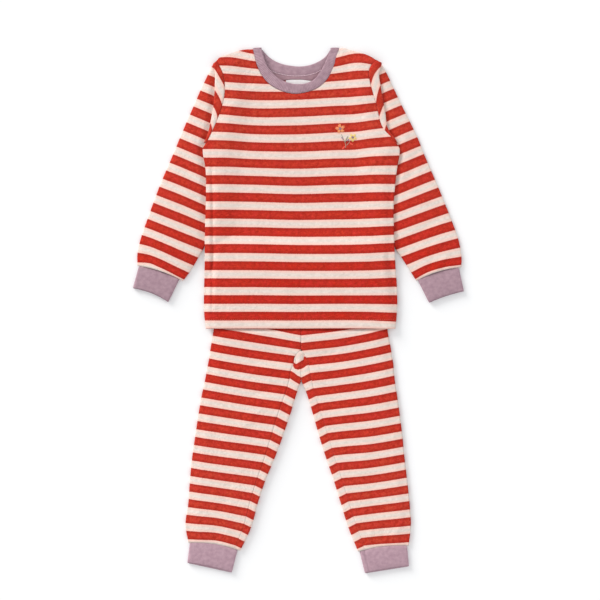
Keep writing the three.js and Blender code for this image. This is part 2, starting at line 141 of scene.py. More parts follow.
# Free end of each cuff, how far its seam starts inside the cloth's two edges, how far the end bows,
# how far the upper layer draws back at the opening, and where a seam shows along it, as a share across
SLEEVE_CUFF = {
    "left": {"end": [-270.4, 38.7, -213.3, 16.4], "insets": [2.5, 6.0], "bow": 3.5, "open": 1.1},
    "right": {"end": [260.3, 34, 204.3, 15.4], "insets": [3.9, 2.6], "bow": 1.6, "open": 1.0},
}
HEAD_FOLD = {
    "left": [[-158.5, 261], [-150, 285], [-145.5, 305], [-141, 330], [-139, 358], [-138.5, 381], [-141.5, 397]],
    "right": [[158, 261], [148, 279], [138, 295], [134, 320], [127, 360], [124.2, 380], [128.5, 399]],
}
# Sections across the legs: height, x of the outer edge, of the inseam and of the inner edge, rise
LEG_COLUMNS = ("y", "outer", "seam", "inner", "rise")
LEG = {
    "left": [
        [72, -128, None, -0.55, 2.6], [40, -134, None, -0.55, 2.6], [5, -138, None, -0.55, 2.6],
        [-30, -141, None, -0.55, 2.7], [-60, -146, -1, -0.55, 3.2], [-71, -147.5, -11, -0.55, 3.4],
        [-82, -149.5, -12.9, -0.55, 3.6], [-95, -152, -17.5, -0.55, 3.8], [-109, -154.5, -19.5, -0.55, 4],
        [-129, -159, -25.5, -7.5, 4.2], [-160, -164.5, -36.5, -17, 4.4], [-197, -170, -48, -29.5, 4.6],
        [-232, -175, -58.5, -42.5, 4.6], [-267, -178.5, -71, -57, 4.6], [-304, -181, -82.5, -69.5, 4.4],
        [-340, -185.7, -93, -81, 4], [-369, -181, -107, -98, 3.6],
    ],
    "right": [
        [72, 126, None, -0.45, 2.6], [40, 131, None, -0.45, 2.6], [5, 135, None, -0.45, 2.6],
        [-30, 138, None, -0.45, 2.7], [-60, 143.5, 0.5, -0.45, 3.2], [-71, 145, 7, -0.45, 3.4],
        [-82, 147, 11.5, -0.45, 3.6], [-95, 148, 13.5, -0.45, 3.8], [-109, 149.5, 16.5, -0.45, 4],
        [-129, 152.5, 21, 8, 4.2], [-160, 157, 31, 17.5, 4.4], [-197, 161.5, 43, 28, 4.6],
        [-232, 165, 53, 39, 4.6], [-267, 169, 65, 51, 4.6], [-304, 173, 76, 62.5, 4.4],
        [-340, 175, 89, 75, 4], [-373.5, 171.5, 101.5, 90.5, 3.6],
    ],
}
# How far the inner edge of a section lies below its outer edge, by the outer edge's height
LEG_DROP = {
    "left": [[-304, 0], [-340, 5], [-369, 12.5]],
    "right": [[-304, 0], [-340, 4], [-373.5, 9.5]],
}
STRIPE_PITCH = 26.5
JUNCTION_Y = -60  # where the four trouser panels meet on the front
FORK_Y = -109  # where the legs part
LEG_BOW = {"left": 4.8, "right": 4.0}
LEG_CUFF = {
    "left": {"end": [-183, -401.3, -111.7, -416.8], "insets": [2.0, 4.4], "bow": 0, "open": 2.8},
    "right": {"end": [172.3, -406.7, 101.6, -418], "insets": [2.5, 2.5], "bow": 0, "open": 2.3, "seam": 0.93},
}
WAIST = {"left": -127, "right": 125, "bottom": 72.4, "top": 94}

# Where the red stripes run: each row is a stripe's number and its height at each place across
BODY_STRIPES = {
    "across": [-136, -120, -78, -5, 58, 86, 110, 130],
    "rows": [
        [-4, 425.6, 428, 420, 409.6, 431, 438, 438, 432],
        [-3, 400.9, 401.2, 396.4, 387.2, 400, 405.9, 402.4, 393.5],
        [-2, 377.3, 375, 373, 372, 377.1, 379.4, 381.1, 381.6],
        [-1, 350.4, 349.3, 346.9, 347.4, 350.9, 352.2, 353.6, 355.2],
        [0, 324.8, 323, 319.7, 320.5, 323.5, 324.6, 327.4, 330.4],
        [1, 295.7, 295, 292.5, 292.2, 295.5, 296.6, 299.4, 302.4],
        [2, 268.1, 267.9, 265.4, 264.6, 266.9, 267.8, 270.7, 272],
        [4, 212.2, 212.2, 211.5, 209.6, 211.5, 211.8, 212.6, 212.5],
        [8, 102.1, 102.2, 101.9, 100.6, 100.6, 101.1, 101.9, 103.2],
        [10, 47.5, 47.4, 47.4, 46.6, 46.6, 46.7, 47, 47.7],
        [12, -5.8, -5.8, -5.6, -5.8, -5.3, -5.4, -5.8, -6.7],
        [13, -32.7, -32.7, -32.5, -32.7, -32.2, -32.3, -32.7, -33.6],
    ],
}
LEG_STRIPES = {
    "left": {"across": [-169.6, -137.6, -89.6, -17.6],
             "rows": [[-6, 105, 98, 90, 77], [-2, 0.8, -5.8, -13.6, -27.4], [-1, -24.8, -31.4, -39.2, -50.8],
        [0, -50.1, -56.8, -65, -74.6], [2, -101.6, -107.5, -115.7, -125.6],
        [4, -154.1, -159, -166.7, -177.1], [6, -205.9, -210.7, -216.8, -227.5],
        [8, -256.6, -261.3, -267.8, -279.2], [10, -306.6, -310.7, -319.4, -334.4],
        [12, -357, -358.7, -371, -393.6]]},
    "right": {"across": [14.4, 62.4, 110.4, 166.4],
              "rows": [[-6, 77, 82, 91, 105], [-2, -28.6, -23.2, -14.1, 1.6], [-1, -53.3, -48, -39.4, -25.6],
        [0, -77.9, -72.8, -64.3, -51.7], [2, -128.5, -122.4, -115.5, -104],
        [4, -178.1, -172, -166.6, -157.3], [6, -227.7, -221.3, -217, -208],
        [8, -278.4, -271.7, -267, -258.2], [10, -328, -322.6, -316, -309.3],
        [12, -380.8, -371.8, -365.4, -361.4]]},
}
SLEEVE_STRIPES = {
    "left": {"across": [-262.4, -241.6, -225.6, -193.6, -161.6],
             "rows": [[0, 389.4, 380.7, 374.1, 360.8, 347.5], [6, 207.4, 199.4, 193, 180.6, 166.7],
        [8, 148, 140.5, 134.2, 121.6, 109.3], [9, 118.4, 112.3, 105.9, 91.8, 78.4],
        [10, 88, 84.5, 78, 62.4, 47.4], [10.27, 80, 78, 71.4, 55.3, 41]]},
    "right": {"across": [174.4, 198.4, 222.4, 254.4],
              "rows": [[-3, 393, 403.2, 413.6, 427.2], [0, 298.4, 308.8, 319.2, 332.8],
        [1, 268.3, 278.4, 288.8, 302.4], [3, 204.6, 214.6, 224, 235.2],
        [5, 145.6, 154.1, 162.6, 172.8], [7, 87, 95.8, 103.4, 112],
        [8, 55.2, 68.5, 76.3, 81.3], [8.27, 48.3, 62.3, 70.7, 76]]},
}
# On the back panels: stripe phase, then its height at even steps from the inseam to the inner edge
CROTCH_STRIPES = {
    "left": [
        [-0.25, -80.8, -83, -80.5, -77.6], [0.25, -84, -90, -91.2, -90.2],
        [0.75, -93.5, -96, -101, -104.2], [1.25, -104.8, -108.8, -112.2, -114.6],
        [1.75, -119.4, -121.7, -124, -126.2], [2.25, -130.3, -132.8, -135.3, -137.8],
    ],
    "right": [
        [-0.25, -71.7, -70.5, -75.8, -77.6], [0.25, -83.5, -84.6, -88, -90.2],
        [0.75, -97, -99.5, -102, -104.2], [1.25, -108, -110.3, -112.6, -114.6],
        [1.75, -121.3, -123, -124.6, -126.2], [2.25, -134.2, -135.4, -136.6, -137.8],
    ],
}
# On the doubled sleeve heads: stripe phase, height at the fold and height at the armhole seam
HEAD_STRIPES = {
    "left": [
        [-0.25, 417, 406], [0.25, 395.5, 360.8], [0.75, 356, 331], [1.25, 330.5, 310.5],
        [1.75, 303.5, 290], [2.25, 275.5, 274],
    ],
    "right": [
        [-0.25, 425, 407], [0.25, 396.5, 364], [0.75, 364, 334.7], [1.25, 334, 313.5], [1.75, 300, 290.5],
        [2.25, 276, 272],
    ],
}


# Curves and fields

def ease(value):
    """0 below 0, 1 above 1 and a smooth step between."""
    value = np.clip(value, 0, 1)
    return value * value * (3 - 2 * value)


def mix(a, b, share):
    return a + (b - a) * share


def along(table, shares):
    """Points at shares of the length of a smooth curve through a table's rows."""
    knots = np.array(table, float)
    knots = np.vstack([2 * knots[0] - knots[1], knots, 2 * knots[-1] - knots[-2]])
    steps = np.sqrt(np.linalg.norm(np.diff(knots[:, :2], axis=0), axis=1))
    times = np.concatenate([[0], np.cumsum(steps)])
    t = np.linspace(times[1], times[-2], 40 * len(table))
    k = np.clip(np.searchsorted(times, t, side="right") - 1, 1, len(times) - 3)

    def blend(a, b, ta, tb):
        return ((tb - t) / (tb - ta))[:, None] * a + ((t - ta) / (tb - ta))[:, None] * b

    p = [knots[k + i] for i in (-1, 0, 1, 2)]
    q = [times[k + i] for i in (-1, 0, 1, 2)]
    first = [blend(p[i], p[i + 1], q[i], q[i + 1]) for i in range(3)]
    second = [blend(first[i], first[i + 1], q[i], q[i + 2]) for i in range(2)]
    dense = blend(second[0], second[1], q[1], q[2])
    reach = np.concatenate([[0], np.cumsum(np.linalg.norm(np.diff(dense[:, :2], axis=0), axis=1))])
    wanted = np.asarray(shares) * reach[-1]
    return np.stack([np.interp(wanted, reach, dense[:, i]) for i in range(dense.shape[1])], -1)


def reader(table, value, place):
    """A function that gives one column of a smooth curve at a height or place of another column."""
    dense = along(table, np.linspace(0, 1, 200))
    order = np.argsort(dense[:, place])
    return lambda at: np.interp(at, dense[order, place], dense[order, value])


edge_x = {hand: reader(SIDE[hand] + ARMHOLE[hand][1:], 0, 1) for hand in SIDE}
shoulder_y = reader(SHOULDER["left"] + SHOULDER["right"], 1, 0)
sleeve_inner_x = {hand: reader([row[2:] for row in SLEEVE[hand]], 0, 1) for hand in SLEEVE}
leg_outer_x = {hand: reader(LEG[hand], 1, 0) for hand in LEG}
cover_x = {hand: reader(SIDE[hand] + HEAD_FOLD[hand][1:], 0, 1) for hand in SIDE}


def lift(x, y):
    """How far the top is lifted off the surface by what lies under it."""
    def fall(distance, ramp):
        return ease(1 - (distance - RAMP_START) / ramp)

    left = UNDER_SLEEVE * fall(SLEEVE_SLANT * (x - sleeve_inner_x["left"](y)), SLEEVE_RAMP)
    right = UNDER_SLEEVE * fall(SLEEVE_SLANT * (sleeve_inner_x["right"](y) - x), SLEEVE_RAMP)
    in_width = fall(np.maximum(leg_outer_x["left"](y) - x, x - leg_outer_x["right"](y)), LEG_RAMP)
    in_length = fall(y - WAIST["top"], WAIST_RAMP)
    under = mix(UNDER_TROUSERS, UNDER_HEM, ease((50 - y) / 60))
    return np.maximum(np.maximum(left, right), under * in_width * in_length)


def stretch(x, y, step=3.0):
    """Length of the lift's slope for each millimetre in plan."""
    dx = (lift(x + step, y) - lift(x - step, y)) / (2 * step)
    dy = (lift(x, y + step) - lift(x, y - step)) / (2 * step)
    return np.sqrt(1 + dx * dx + dy * dy)


def back_middle(x, y):
    return lift(x, y) + WALL / 2 * stretch(x, y)


def front_middle(x, y):
    inward = np.minimum(np.minimum(x - edge_x["left"](y), edge_x["right"](y) - x), shoulder_y(x) - y)
    soft = mix(HEM_RISE, BODY_RISE, ease((y - HEM_Y) / 150))
    rise = mix(SIDE_RISE, soft, ease(inward / SOFT_EDGE))
    return back_middle(x, y) + rise * stretch(x, y) + creases(x, y, BODY_CREASES) * ease(inward / 6)


def creases(x, y, table):
    """Soft ridges and troughs added up: start x, y, end x, y, half width and height, fading at both ends."""
    total = np.zeros_like(x)
    for x0, y0, x1, y1, width, height in table:
        dx, dy = x1 - x0, y1 - y0
        length = math.hypot(dx, dy)
        share = ((x - x0) * dx + (y - y0) * dy) / length ** 2
        off = ((x - x0) * dy - (y - y0) * dx) / length
        bend = min(0.06 * length, 5.0) * (share - 0.5) ** 2
        ends = ease((share + 0.1) / 0.35) * ease((1.1 - share) / 0.35)
        total += CREASE_DEPTH * height * ends * np.exp(-(((off - bend) / width) ** 2))
    return total


# Creases of the top: start, end, half width, height
BODY_CREASES = [
    [-142, 250, -142, -25, 2.2, -1.9], [-147.5, 240, -147.5, -18, 3.0, 0.7], [144, 258, 141, 40, 3.5, -0.4],
    [-150, 268, -96, 214, 7, 0.9], [-140, 278, -84, 262, 6, -0.6], [149, 268, 92, 222, 7, 0.8],
    [138, 280, 84, 268, 6, -0.6], [-60, 372, -112, 330, 8, 0.7], [44, 376, 98, 336, 8, 0.7],
    [-30, 344, -44, 210, 14, 0.8], [40, 350, 58, 196, 15, 0.7], [-88, 250, -70, 40, 16, 0.8],
    [20, 240, 8, 60, 18, -0.7], [96, 230, 104, 30, 14, 0.7], [-20, 70, -30, -20, 12, 0.6],
    [70, 60, 84, -24, 13, -0.5], [-110, 60, -116, -22, 10, 0.5],
]


def phase(x, y, stripes):
    """Number of the red stripe at a place: whole in the middle of a red stripe, halves in the cream."""
    rows = np.array(stripes["rows"], float)
    across = np.array(stripes["across"], float)
    heights = np.stack([bowed(x, across, row[1:]) for row in rows])
    number = np.full_like(x, np.nan)
    for k in range(len(rows) - 1):
        share = (heights[k] - y) / (heights[k] - heights[k + 1])
        inside = (share >= 0) & (share <= 1)
        inside |= (share < 0) & (k == 0)
        inside |= (share > 1) & (k == len(rows) - 2)
        number = np.where(inside & np.isnan(number), mix(rows[k, 0], rows[k + 1, 0], share), number)
    return number


def bowed(x, across, values):
    """A smooth line through values at places across, straight on past the outer ones."""
    if len(across) == 2:
        return values[0] + (x - across[0]) * (values[1] - values[0]) / (across[1] - across[0])
    slopes = np.gradient(values, across)
    k = np.clip(np.searchsorted(across, x) - 1, 0, len(across) - 2)
    width = across[k + 1] - across[k]
    t = np.clip((x - across[k]) / width, 0, 1)
    smooth = (
        values[k] * (1 + 2 * t) * (1 - t) ** 2 + width * slopes[k] * t * (1 - t) ** 2
        + values[k + 1] * t * t * (3 - 2 * t) - width * slopes[k + 1] * t * t * (1 - t)
    )
    past = np.where(x < across[0], (x - across[0]) * slopes[0], 0)
    past = past + np.where(x > across[-1], (x - across[-1]) * slopes[-1], 0)
    return smooth + past


def slanted_phase(table, y, share, highest):
    """Stripe phase where each stripe's edge runs straight between heights at even shares across.

    highest: how many stripes the phase may run on above the table's first row.
    """
    rows = np.array(table, float)
    known = np.linspace(0, 1, rows.shape[1] - 1)
    heights = np.array([np.interp(share.ravel(), known, row[1:]) for row in rows])
    levels = np.array([np.interp(-v, -h, rows[:, 0]) for v, h in zip(y.ravel(), heights.T)])
    above = np.clip(heights[0] - y.ravel(), -highest * STRIPE_PITCH, 0) / STRIPE_PITCH
    return (levels + above).reshape(y.shape)


# Meshes

def wall(points, uv, thickness, ring=False, loop=False, thinning=(0.35, 0.8, 0.95), flush=None):
    """A closed wall around a grid of points, thinned to a soft edge. A point of NaN leaves its cells out.

    flush: columns on a seam with the next piece at the same height, so that their edge isn't rounded.
    """
    n, m = points.shape[:2]
    place = points.reshape(-1, 3)
    index = np.arange(n * m).reshape(n, m)
    if ring:
        index = np.hstack([index, index[:, :1]])
    if loop:
        index = np.vstack([index, index[:1]])
    cells = np.stack([index[:-1, :-1], index[:-1, 1:], index[1:, 1:], index[1:, :-1]], -1).reshape(-1, 4)
    cells = cells[~np.isnan(place[cells, 0]).any(1)]
    used, cells = np.unique(cells, return_inverse=True)
    cells = cells.reshape(-1, 4)
    place, uv = place[used], uv.reshape(-1, 2)[used]
    face = np.cross(place[cells[:, 2]] - place[cells[:, 0]], place[cells[:, 3]] - place[cells[:, 1]])
    normal = np.zeros_like(place)
    for k in range(4):
        np.add.at(normal, cells[:, k], face)
    normal /= np.linalg.norm(normal, axis=1, keepdims=True)
    count = len(place)
    pairs = np.concatenate([cells[:, [k, (k + 1) % 4]] for k in range(4)])
    border = pairs[~np.isin(pairs[:, 0] * count + pairs[:, 1], pairs[:, 1] * count + pairs[:, 0])]
    half = np.full(count, thickness / 2)
    near = np.zeros(count, bool)
    near[border.ravel()] = True
    for share in thinning:
        half[near & (half == thickness / 2)] = share * thickness / 2
        near[cells[near[cells].any(1)].ravel()] = True
    places = np.vstack([place + normal * half[:, None], place - normal * half[:, None]])
    sides = np.stack([border[:, 0] + count, border[:, 1] + count, border[:, 1], border[:, 0]], -1)
    faces = np.vstack([cells, cells[:, ::-1] + count, sides])
    a, b, c = (places[faces[:, k]] for k in (0, 1, 2))
    d = places[faces[:, 3]]
    volume = (np.einsum("ij,ij->i", a, np.cross(b, c)) + np.einsum("ij,ij->i", a, np.cross(c, d))).sum()
    if volume < 0:
        faces = faces[:, ::-1]
    smooth = np.ones(len(faces), bool)
    if flush:
        on_seam = np.isin(np.arange(n * m) % m, flush)
        smooth[-len(border):] = ~on_seam[used][border].all(1)
    return places, faces, np.vstack([uv, uv]), smooth


def add_mesh(name, places, faces, material):
    """A smooth object from places in the tables' millimetres."""
    mesh = bpy.data.meshes.new(name)
    mesh.from_pydata(((places - MIDDLE) * MM).tolist(), [], faces)
    mesh.polygons.foreach_set("use_smooth", np.ones(len(faces), bool))
    mesh.materials.append(material)
    obj = bpy.data.objects.new(name, mesh)
    SCENE.collection.objects.link(obj)
    return obj


def piece(name, walls, material, node):
    """One object from its closed walls, standing for a CAD node."""
    start = np.cumsum([0] + [len(w[0]) for w in walls])
    faces = np.vstack([w[1] + s for w, s in zip(walls, start)])
    uv = np.vstack([w[2] for w in walls])
    obj = add_mesh(name, np.vstack([w[0] for w in walls]), faces.tolist(), material)
    layer = obj.data.uv_layers.new(name="cloth")
    layer.data.foreach_set("uv", uv[faces.ravel()].astype(np.float32).ravel())
    obj.data.polygons.foreach_set("use_smooth", np.concatenate([w[3] for w in walls]))
    obj.data.update()
    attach(obj, "root")
    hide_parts(node)
    return obj


def grid_uv(points, stripe_phase):
    """Cloth coordinates: x across in centimetres, y the number of the stripe."""
    return np.stack([points[..., 0] / 10, stripe_phase], -1)


def plan_uv(points):
    """Cloth coordinates in centimetres, as seen from above."""
    return points[..., :2] / 10


def bulge(bow, share):
    """How far a bowed line lies back from the straight one between its ends."""
    return 4 * bow * share * (1 - share)


def tube(outer, inner, rise, thickness, cell, crown=None, bow=0.0):
    """A flattened tube through sections with outer and inner ends and the rise between its walls."""
    reach = inner - outer
    width = np.linalg.norm(reach, axis=1)
    reach = reach / width[:, None]
    radius = rise / 2
    inset = thickness / 2 + radius
    count = max(int(width.max() / cell), 4)
    share = np.linspace(0, 1, count + 1)
    turn = np.linspace(0, math.pi, 8)[1:-1]
    inner_end = (width - inset)[:, None]
    across = np.hstack([
        mix(inset[:, None], inner_end, share), inner_end + radius[:, None] * np.sin(turn),
        mix(inner_end, inset[:, None], share), inset[:, None] - radius[:, None] * np.sin(turn),
    ])
    height = np.hstack([
        np.zeros((len(width), count + 1)), radius[:, None] * (1 - np.cos(turn)),
        np.repeat(rise[:, None], count + 1, 1), radius[:, None] * (1 + np.cos(turn)),
    ])
    points = np.empty((len(width), across.shape[1], 3))
    back = np.stack([-reach[:, 1], reach[:, 0]], -1) * np.sign(reach[:, :1])
    bent = bulge(np.reshape(bow, (-1, 1)), across / width[:, None])
    points[..., :2] = outer[:, None] + across[..., None] * reach[:, None] + bent[..., None] * back[:, None]
    points[..., 2] = thickness / 2 + height
    if crown is not None:
        top = slice(count + 1 + len(turn), 2 * count + 2 + len(turn))
        points[:, top, 2] += crown(points[:, top, 0], points[:, top, 1], share)
    return points


# Pieces of the top

def body_grid(neck_edge, cell):
    """Places on a body panel, spread between its hem, sides, armholes, shoulders and neck edge."""
    armhole_length, shoulder_length, neck_length = 150, 75, 170
    shoulder_share = 0.24
    heights = np.linspace(HEM_Y, ARMPIT_Y, int((ARMPIT_Y - HEM_Y) / cell))
    arm = np.linspace(0, 1, int(armhole_length / cell))[1:]
    left, right = (
        np.vstack([np.stack([edge_x[hand](heights), heights], -1), along(ARMHOLE[hand], arm)])
        for hand in ("left", "right")
    )
    outer = np.linspace(0, 1, int(shoulder_length / cell))
    inner = np.linspace(0, 1, int(neck_length / cell))[1:]
    left_shoulder, right_shoulder = along(SHOULDER["left"], outer), along(SHOULDER["right"], outer)
    top = np.vstack([left_shoulder, along(neck_edge, inner), right_shoulder[1:]])
    share = np.concatenate([outer * shoulder_share, mix(shoulder_share, 1 - shoulder_share, inner),
                            mix(1 - shoulder_share, 1, outer[1:])])[:, None]
    up = (left[:, 1] - left[0, 1]) / (left[-1, 1] - left[0, 1])
    crown = mix(left[-1], right[-1], share)
    return mix(left[:, None], right[:, None], share) + (up ** 1.5)[:, None, None] * (top - crown)


def body_panel(half, height, cell, material):
    """The front or back of the body, at a height that a function gives."""
    xy = body_grid(NECK[half], cell)
    x, y = xy[..., 0], xy[..., 1]
    points = np.dstack([xy, height(x, y)])
    walls = [wall(points, grid_uv(points, phase(x, y, BODY_STRIPES)), WALL, thinning=EDGE_THINNING)]
    return piece(f"top_{half}_cloth", walls, material, f"top_{half}")


def sleeve_crown(hand):
    """How much fuller a sleeve is where nothing lies on it, with its creases."""
    def crown(x, y, share):
        away = INWARD[hand] * (cover_x[hand](y) - x)
        free = ease((away - 0.8) / 10) * np.sin(math.pi * share[None, ::-1]) ** 0.7
        return free * (FULLNESS + creases(x, y, SLEEVE_CREASES[hand]))
    return crown


SLEEVE_CREASES = {
    "left": [
        [-196, 262, -170, 190, 6, -0.9], [-222, 205, -196, 170, 6, 0.8], [-236, 160, -180, 120, 7, -0.8],
        [-250, 128, -196, 92, 5, 0.7], [-180, 300, -168, 246, 5, 0.7], [-258, 100, -226, 66, 4, -0.7],
        [-242, 98, -216, 60, 4, 0.6], [-222, 92, -200, 56, 4, -0.5],
    ],
    "right": [
        [186, 262, 166, 190, 6, -0.9], [214, 205, 188, 168, 6, 0.8], [230, 156, 174, 118, 7, -0.8],
        [244, 124, 190, 92, 5, 0.7], [170, 296, 160, 246, 5, 0.7], [250, 96, 222, 64, 4, -0.7],
        [234, 96, 210, 60, 4, 0.6], [214, 90, 194, 56, 4, -0.5],
    ],
}


def sleeve(hand, material):
    rows = along(SLEEVE[hand], np.linspace(0, 1, int(365 / CELL)))
    rise = np.full(len(rows), SLEEVE_RISE)
    from_end = np.linalg.norm(rows[:, :2] - rows[-1, :2], axis=1)
    bow = SLEEVE_BOW[hand] * ease(1 - from_end / 45)
    points = tube(rows[:, :2], rows[:, 2:], rise, WALL, CELL, sleeve_crown(hand), bow)
    number = phase(points[..., 0], points[..., 1], SLEEVE_STRIPES[hand])
    tube_wall = wall(points, grid_uv(points, number), WALL, ring=True, thinning=CUFF_THINNING)
    walls = [tube_wall, sleeve_head(hand)]
    obj = piece(f"sleeve_{hand}_cloth", walls, material, f"sleeve_{hand}")


def sleeve_head(hand):
    """The sleeve head lying doubled beside the armhole seam, its outer edge turned down to the sleeve."""
    shares = np.linspace(0.08, 1.0, int(145 / CELL))
    seam, fold = along(ARMHOLE[hand], shares), along(HEAD_FOLD[hand], shares)
    seam = seam - [INWARD[hand] * HEAD_GAP, 0]
    level = UNDER_SLEEVE + WALL / 2 + SIDE_RISE
    foot = WALL + SLEEVE_RISE + WALL / 2
    reach = fold - seam
    width = np.linalg.norm(reach, axis=1)
    reach = reach / width[:, None]
    width = np.maximum(width, 2 * FOLD_RADIUS + WALL)
    turn = (width - WALL / 2 - FOLD_RADIUS)[:, None]
    share = np.linspace(0, 1, 6)
    angle = np.linspace(0, math.pi / 2, 6)[1:]
    drop = np.linspace(0, 1, 3)[1:]
    outermost = np.repeat(turn + FOLD_RADIUS, 2, 1)
    across = np.hstack([turn * share, turn + FOLD_RADIUS * np.sin(angle), outermost])
    height = np.concatenate([
        level + 0.5 * np.sin(math.pi * share), level - FOLD_RADIUS * (1 - np.cos(angle)),
        mix(level - FOLD_RADIUS, foot, drop),
    ])
    points = np.empty((len(width), across.shape[1], 3))
    points[..., :2] = seam[:, None] + across[..., None] * reach[:, None]
    points[..., 2] = height
    to_seam = 1 - np.clip(across / width[:, None], 0, 1)
    number = slanted_phase(HEAD_STRIPES[hand], points[..., 1], to_seam, 2)
    return wall(points, grid_uv(points, number), WALL, thinning=SEAM_THINNING)


def cuff(node, seam, seam_bow, shape, material):
    """A rib cuff sewn to the end row of a sleeve or leg, a little narrower than the cloth."""
    seam, end = np.array(seam, float).reshape(2, 2), np.array(shape["end"], float).reshape(2, 2)
    width = np.linalg.norm(seam[1] - seam[0])
    across = (seam[1] - seam[0]) / width
    down = end.mean(0) - seam.mean(0)
    down -= across * down.dot(across)
    length = np.linalg.norm(down)
    down /= length
    ends = np.array([shape["insets"][0] / width, 1 - shape["insets"][1] / width])
    start = seam[0] + across * width * ends[:, None] + down * (CUFF_GAP - bulge(seam_bow, ends))[:, None]
    share = np.linspace(0, 1, 18)
    outer, inner = mix(start[0], end[0], share[:, None]), mix(start[1], end[1], share[:, None])
    rise = 3.2 - 0.5 * (share - 0.4) ** 2
    groove_width = 1.5

    def crown(x, y, places):
        places = places[None, ::-1]
        groove = np.exp(-((places - shape.get("seam", math.inf)) * width / groove_width) ** 2)
        return (0.9 * np.sin(math.pi * share)[:, None] + 0.3) * np.sin(math.pi * places) ** 0.6 - groove

    bow = mix(seam_bow * (ends[1] - ends[0]) ** 2, shape["bow"], share)
    points = tube(outer, inner, rise, RIB_WALL, 1.6, crown, bow)
    from_outer = np.linalg.norm(points[..., :2] - outer[:, None], axis=-1)
    full = np.linalg.norm(inner - outer, axis=1)[:, None]
    middle = np.sin(math.pi * np.clip(from_outer / full, 0, 1)) ** 0.5
    upper = np.clip((points[..., 2] - RIB_WALL / 2) / rise[:, None], 0, 1)
    points[..., :2] -= down * (shape["open"] * upper * middle * ease((share[:, None] - 0.7) / 0.3))[..., None]
    uv = np.stack([from_outer / 10, np.repeat(share[:, None] * length / 10, points.shape[1], 1)], -1)
    walls = [wall(points, uv, RIB_WALL, ring=True, thinning=CUFF_THINNING)]
    obj = piece(f"{node}_rib", walls, material, node)


def neckband(material):
    """The rib neckband: front half level with the front panel, turned over at both shoulders."""
    shares = np.linspace(0, 1, 90)
    across = np.linspace(0, 1, 9)
    low = RIB_WALL / 2

    def half(seam_edge, free_edge, height, raised):
        seam, free = along(NECK[seam_edge], shares), along(NECK[free_edge], shares)
        width = np.linalg.norm(free - seam, axis=1)
        part = np.maximum(across, SEAM_GAP / width[:, None])[..., None]
        xy = mix(seam[:, None], free[:, None], part)
        crown = 0.5 * np.sin(math.pi * across) ** 0.7 + raised * across ** 2
        return np.dstack([xy, height(xy[..., 0], xy[..., 1]) + crown])

    def level(x, y):
        return mix(low + SIDE_RISE, low + BODY_RISE, ease((421 - y) / 24))

    def turned(row):
        rows = []
        for angle in np.linspace(0, math.pi, 8)[1:-1]:
            radius = (row[:, 2] - low) / 2
            z = low + radius * (1 + math.cos(angle))
            rows.append(np.stack([row[:, 0], row[:, 1] + radius * math.sin(angle), z], -1))
        return np.array(rows)

    front = half("front", "front_free", level, 1.3)
    back = half("back", "back_free", lambda x, y: 0 * x + low, 0)
    points = np.vstack([front, turned(front[-1]), back[::-1], turned(front[0])[::-1]])
    run = np.linspace(0, 42, len(points))[:, None]
    uv = np.dstack([np.repeat(run, 9, 1), np.repeat(1.9 * across[None], len(points), 0)])
    walls = [wall(points, uv, RIB_WALL, loop=True, thinning=CUFF_THINNING)]
    obj = piece("neckband_rib", walls, material, "neckband")


def neck_tape(material):
    """Tape over the back neck seam, wider towards its ends."""
    seam = along(NECK["back"], np.linspace(0.12, 0.88, 70))
    from_middle = (seam[:, 0] + 8) / 30
    width = 5.4 + np.minimum(8 * from_middle ** 2, 4.6)
    drop = mix(-0.2, width[:, None], np.linspace(0, 1, 8))
    level = WALL + LAYER_GAP + TAPE_WALL / 2
    points = np.dstack([0 * drop + seam[:, :1], seam[:, 1:] - drop, 0 * drop + level])
    walls = [wall(points, plan_uv(points), TAPE_WALL)]
    obj = piece("neck_tape_cloth", walls, material, "neck_tape")


def neck_label(material):
    x, y = np.meshgrid(np.linspace(-25, 21, 47), np.linspace(348.9, 372.9, 25))
    points = np.dstack([x, y, 0 * x + WALL + LAYER_GAP + LABEL_WALL / 2])
    walls = [wall(points, plan_uv(points), LABEL_WALL)]
    obj = piece("neck_label_cloth", walls, material, "neck_label")


# Pieces of the trousers

LEG_CREASES = {
    "left": [
        [-24, -72, -70, -60, 5, -0.8], [-22, -88, -84, -94, 6, 0.9], [-28, -112, -92, -140, 6, -0.8],
        [-60, -150, -110, -196, 8, 0.7], [-120, -180, -96, -262, 9, 0.7],
        [-146, -110, -132, -226, 7, -0.5], [-110, -262, -134, -330, 8, -0.6],
        [-168, -340, -150, -364, 4, 0.7], [-140, -338, -134, -370, 4, -0.6],
        [-122, -344, -112, -374, 4, 0.6],
    ],
    "right": [
        [20, -72, 66, -58, 5, -0.8], [18, -88, 80, -92, 6, 0.9], [24, -112, 88, -138, 6, -0.8],
        [54, -150, 104, -196, 8, 0.7], [116, -180, 92, -262, 9, 0.7], [140, -110, 144, -246, 5, -0.6],
        [104, -262, 126, -330, 8, -0.6], [160, -338, 144, -364, 4, 0.7], [132, -338, 128, -372, 4, -0.6],
        [114, -342, 104, -374, 4, 0.6],
    ],
}


